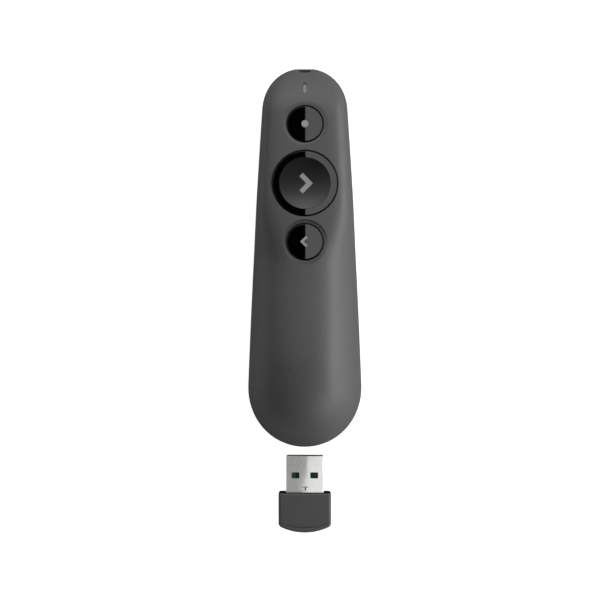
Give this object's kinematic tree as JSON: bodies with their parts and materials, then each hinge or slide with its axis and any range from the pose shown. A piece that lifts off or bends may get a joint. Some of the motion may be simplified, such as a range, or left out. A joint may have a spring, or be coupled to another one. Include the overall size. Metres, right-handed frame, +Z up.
{
  "type": "presentation clicker",
  "caption": "Hand-held wireless presentation remote with sprung buttons, a laser in its nose, a sliding battery door and a USB receiver that docks in its tail.",
  "frame": {"origin": "on the flat of the underside, on the centre line, half way between the nose tip and the tail tip of the handset", "axes": "+X across the handset, +Y from tail to nose, +Z up from the table through the buttons"},
  "size_m": [0.0364, 0.1491, 0.0241],
  "materials": {
    "soft_touch_grey": "satin soft-touch",
    "black_shell": "fine-textured",
    "gloss_black": "gloss",
    "frame_plastic": "moulded",
    "receiver_plastic": "satin",
    "circuit_board": "solder mask",
    "chip_black": "moulded",
    "plunger_cream": "moulded",
    "crystal_can": "nickel",
    "plug_steel": "nickel plated",
    "gold_contact": "gold flash",
    "brass_barrel": "turned",
    "lens_glass": "polished",
    "laser_window": "dark red",
    "light_guide": "frosted",
    "cell_wrap": "printed wrap",
    "screw_steel": "zinc plated"
  },
  "bodies": {
    "handset": {"top_shell": "soft_touch_grey", "rear_shell": "black_shell", "battery_tray": "frame_plastic", "receiver_dock": "frame_plastic", "main_board": "circuit_board", "radio_chip": "chip_black", "crystal": "crystal_can", "laser_switch": "chip_black", "next_switch": "chip_black", "back_switch": "chip_black", "light_pipe": "light_guide", "status_led": "light_guide", "laser_barrel": "brass_barrel", "laser_lens": "lens_glass", "laser_diode": "brass_barrel", "laser_bezel": "gloss_black", "laser_window": "laser_window", "aaa_battery": "cell_wrap", "battery_spring": "crystal_can", "negative_contact": "crystal_can", "positive_contact": "crystal_can", "housing_screws": "screw_steel", "board_screws": "screw_steel"},
    "laser_button": {"laser_button": "gloss_black", "laser_plunger": "plunger_cream"},
    "next_button": {"next_button": "gloss_black", "next_plunger": "plunger_cream"},
    "back_button": {"back_button": "gloss_black", "back_plunger": "plunger_cream"},
    "battery_door": {"battery_door": "black_shell"},
    "receiver": {"receiver_housing": "receiver_plastic", "receiver_end_cap": "receiver_plastic", "usb_plug_shell": "plug_steel", "plug_insert": "frame_plastic", "receiver_board": "circuit_board", "receiver_contacts": "gold_contact", "receiver_chip": "chip_black"}
  },
  "joints": [
    {"name": "laser_button_press", "type": "slide", "parent": "handset", "child": "laser_button", "axis": [0, 0, -1], "range_m": [0, 0.00035], "stiffness_N_per_m": 400},
    {"name": "next_button_press", "type": "slide", "parent": "handset", "child": "next_button", "axis": [0, 0, -1], "range_m": [0, 0.00035], "stiffness_N_per_m": 400},
    {"name": "back_button_press", "type": "slide", "parent": "handset", "child": "back_button", "axis": [0, 0, -1], "range_m": [0, 0.00035], "stiffness_N_per_m": 400},
    {"name": "battery_door_slide", "type": "slide", "parent": "handset", "child": "battery_door", "axis": [0, -1, 0], "range_m": [0, 0.06]},
    {"name": "receiver_dock_slide", "type": "slide", "parent": "handset", "child": "receiver", "axis": [0, 1, 0], "range_m": [0, 0.0275]}
  ]
}
